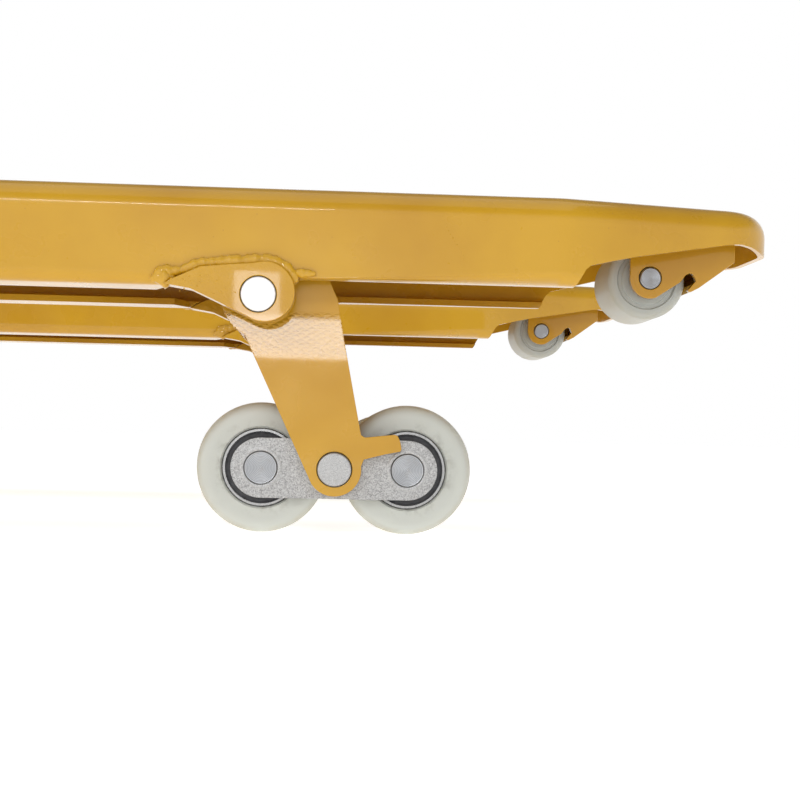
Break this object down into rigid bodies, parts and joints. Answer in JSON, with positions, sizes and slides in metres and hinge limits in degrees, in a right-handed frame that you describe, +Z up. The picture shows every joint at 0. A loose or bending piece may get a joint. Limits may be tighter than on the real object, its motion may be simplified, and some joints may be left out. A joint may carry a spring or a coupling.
{
  "type": "hand pallet truck",
  "caption": "Hand pallet truck: two pressed-steel forks on tandem nylon load rollers, hydraulic pump unit, steering wheels and pull handle.",
  "frame": {"origin": "on the floor, under the middle of the truck's bounding box", "axes": "+X towards the fork tips, +Y to the left fork, +Z up"},
  "size_m": [1.479, 0.612, 1.1994],
  "materials": {
    "orange_paint": "glossy orange-yellow paint with orange peel",
    "nylon": "satin off-white nylon with grime round the bearings",
    "zinc": "zinc plate, finely speckled",
    "steel": "turned steel",
    "bearing": "black seal in a ground steel ring",
    "chrome": "hard chrome",
    "casting": "satin black paint over a casting",
    "tyre": "dark solid tyre",
    "black_plastic": "moulded lever"
  },
  "bodies": {
    "crosshead": {"crosshead": "casting", "steering_thrust_bearing": "steel"},
    "pump_unit": {"pump_body": "casting", "steer_axle": "steel", "handle_pivot_pin": "zinc"},
    "fork_frame": {"frame_front_plate": "orange_paint", "frame_cheek_right": "orange_paint", "frame_cheek_left": "orange_paint", "frame_top_plate": "orange_paint", "ram": "chrome", "fork_right": "orange_paint", "pivot_gusset_right_inner": "orange_paint", "pivot_gusset_right_outer": "orange_paint", "arm_pivot_shaft_right": "zinc", "entry_bracket_right": "orange_paint", "entry_axle_right": "zinc", "fork_left": "orange_paint", "pivot_gusset_left_inner": "orange_paint", "pivot_gusset_left_outer": "orange_paint", "arm_pivot_shaft_left": "zinc", "entry_bracket_left": "orange_paint", "entry_axle_left": "zinc"},
    "rocker": {"rocker": "orange_paint"},
    "handle": {"handle_pole": "casting", "handle_loop": "casting"},
    "control_lever": {"control_lever": "black_plastic"},
    "pump_plunger": {"pump_plunger": "chrome"},
    "release_lever": {"release_lever": "zinc"},
    "arm_right": {"load_arm_right": "orange_paint", "rod_pin_right": "zinc", "bogie_pin_right_inner": "zinc", "bogie_pin_right_outer": "zinc"},
    "bogie_right": {"link_plate_right_inner": "zinc", "link_plate_right_outer": "zinc", "load_axle_right_rear": "steel", "load_axle_right_front": "steel"},
    "push_rod_right": {"push_rod_right": "zinc"},
    "entry_roller_right": {"entry_roller_right": "nylon"},
    "steer_wheel_right": {"steer_hub_right": "casting", "steer_tyre_right": "tyre"},
    "load_roller_right_rear": {"load_roller_right_rear": "nylon", "bearing_pair_right_rear": "bearing"},
    "load_roller_right_front": {"load_roller_right_front": "nylon", "bearing_pair_right_front": "bearing"},
    "arm_left": {"load_arm_left": "orange_paint", "rod_pin_left": "zinc", "bogie_pin_left_inner": "zinc", "bogie_pin_left_outer": "zinc"},
    "bogie_left": {"link_plate_left_inner": "zinc", "link_plate_left_outer": "zinc", "load_axle_left_rear": "steel", "load_axle_left_front": "steel"},
    "push_rod_left": {"push_rod_left": "zinc"},
    "entry_roller_left": {"entry_roller_left": "nylon"},
    "steer_wheel_left": {"steer_hub_left": "casting", "steer_tyre_left": "tyre"},
    "load_roller_left_rear": {"load_roller_left_rear": "nylon", "bearing_pair_left_rear": "bearing"},
    "load_roller_left_front": {"load_roller_left_front": "nylon", "bearing_pair_left_front": "bearing"}
  },
  "joints": [
    {"name": "steer", "type": "hinge", "parent": "crosshead", "child": "pump_unit", "pos_m": [-0.6105, 0, 0.19], "axis": [0, 0, 1], "range_deg": [-95, 95]},
    {"name": "lift", "type": "slide", "parent": "crosshead", "child": "fork_frame", "axis": [0, 0, 1], "range_m": [-0.115, 0]},
    {"name": "rocker_tilt", "type": "hinge", "parent": "fork_frame", "child": "rocker", "pos_m": [-0.44758, 0, 0.22856], "axis": [0, 1, 0], "range_deg": [0, 45.87]},
    {"name": "handle_tilt", "type": "hinge", "parent": "pump_unit", "child": "handle", "pos_m": [-0.7155, 0, 0.262], "axis": [0, 1, 0], "range_deg": [-75, 0], "stiffness_Nm_per_rad": 30, "springref_deg": 17.19},
    {"name": "control_lever_tilt", "type": "hinge", "parent": "handle", "child": "control_lever", "pos_m": [-0.7155, 0, 1.058], "axis": [0, 1, 0], "range_deg": [-12, 12]},
    {"name": "plunger_slide", "type": "slide", "parent": "pump_unit", "child": "pump_plunger", "axis": [0, 0, 1], "range_m": [-0.0181, 0]},
    {"name": "release_lever_tilt", "type": "hinge", "parent": "pump_unit", "child": "release_lever", "pos_m": [-0.5905, -0.0625, 0.262], "axis": [0, 1, 0], "range_deg": [-12.01, 12.01]},
    {"name": "arm_tilt_right", "type": "hinge", "parent": "fork_frame", "child": "arm_right", "pos_m": [0.4325, -0.22, 0.1375], "axis": [0, 1, 0], "range_deg": [-74.22, 0]},
    {"name": "bogie_tilt_right", "type": "hinge", "parent": "arm_right", "child": "bogie_right", "pos_m": [0.4775, -0.22, 0.039], "axis": [0, 1, 0], "range_deg": [0, 74.22]},
    {"name": "push_rod_slide_right", "type": "slide", "parent": "fork_frame", "child": "push_rod_right", "axis": [1, 0, 0], "range_m": [-0.04345, 0]},
    {"name": "load_roller_spin_right_rear", "type": "hinge", "parent": "bogie_right", "child": "load_roller_right_rear", "pos_m": [0.434, -0.22, 0.039], "axis": [0, 1, 0], "continuous": true},
    {"name": "load_roller_spin_right_front", "type": "hinge", "parent": "bogie_right", "child": "load_roller_right_front", "pos_m": [0.521, -0.22, 0.039], "axis": [0, 1, 0], "continuous": true},
    {"name": "entry_roller_spin_right", "type": "hinge", "parent": "fork_frame", "child": "entry_roller_right", "pos_m": [0.6668, -0.22, 0.1589], "axis": [0, 1, 0], "continuous": true},
    {"name": "steer_wheel_spin_right", "type": "hinge", "parent": "pump_unit", "child": "steer_wheel_right", "pos_m": [-0.6105, -0.055, 0.08], "axis": [0, 1, 0], "continuous": true},
    {"name": "arm_tilt_left", "type": "hinge", "parent": "fork_frame", "child": "arm_left", "pos_m": [0.4325, 0.22, 0.1375], "axis": [0, 1, 0], "range_deg": [-74.22, 0]},
    {"name": "bogie_tilt_left", "type": "hinge", "parent": "arm_left", "child": "bogie_left", "pos_m": [0.4775, 0.22, 0.039], "axis": [0, 1, 0], "range_deg": [0, 74.22]},
    {"name": "push_rod_slide_left", "type": "slide", "parent": "fork_frame", "child": "push_rod_left", "axis": [1, 0, 0], "range_m": [-0.04345, 0]},
    {"name": "load_roller_spin_left_rear", "type": "hinge", "parent": "bogie_left", "child": "load_roller_left_rear", "pos_m": [0.434, 0.22, 0.039], "axis": [0, 1, 0], "continuous": true},
    {"name": "load_roller_spin_left_front", "type": "hinge", "parent": "bogie_left", "child": "load_roller_left_front", "pos_m": [0.521, 0.22, 0.039], "axis": [0, 1, 0], "continuous": true},
    {"name": "entry_roller_spin_left", "type": "hinge", "parent": "fork_frame", "child": "entry_roller_left", "pos_m": [0.6668, 0.22, 0.1589], "axis": [0, 1, 0], "continuous": true},
    {"name": "steer_wheel_spin_left", "type": "hinge", "parent": "pump_unit", "child": "steer_wheel_left", "pos_m": [-0.6105, 0.055, 0.08], "axis": [0, 1, 0], "continuous": true}
  ],
  "couplings": [
    {"joint": "rocker_tilt", "follows": "lift", "rad_per_m": -6.9606},
    {"joint": "plunger_slide", "follows": "handle_tilt", "m_per_rad": 0.013751},
    {"joint": "release_lever_tilt", "follows": "control_lever_tilt", "ratio": 1},
    {"joint": "arm_tilt_right", "follows": "lift", "rad_per_m": 11.263},
    {"joint": "bogie_tilt_right", "follows": "lift", "rad_per_m": -11.263},
    {"joint": "push_rod_slide_right", "follows": "lift", "ratio": 0.37771},
    {"joint": "arm_tilt_left", "follows": "lift", "rad_per_m": 11.263},
    {"joint": "bogie_tilt_left", "follows": "lift", "rad_per_m": -11.263},
    {"joint": "push_rod_slide_left", "follows": "lift", "ratio": 0.37771}
  ]
}
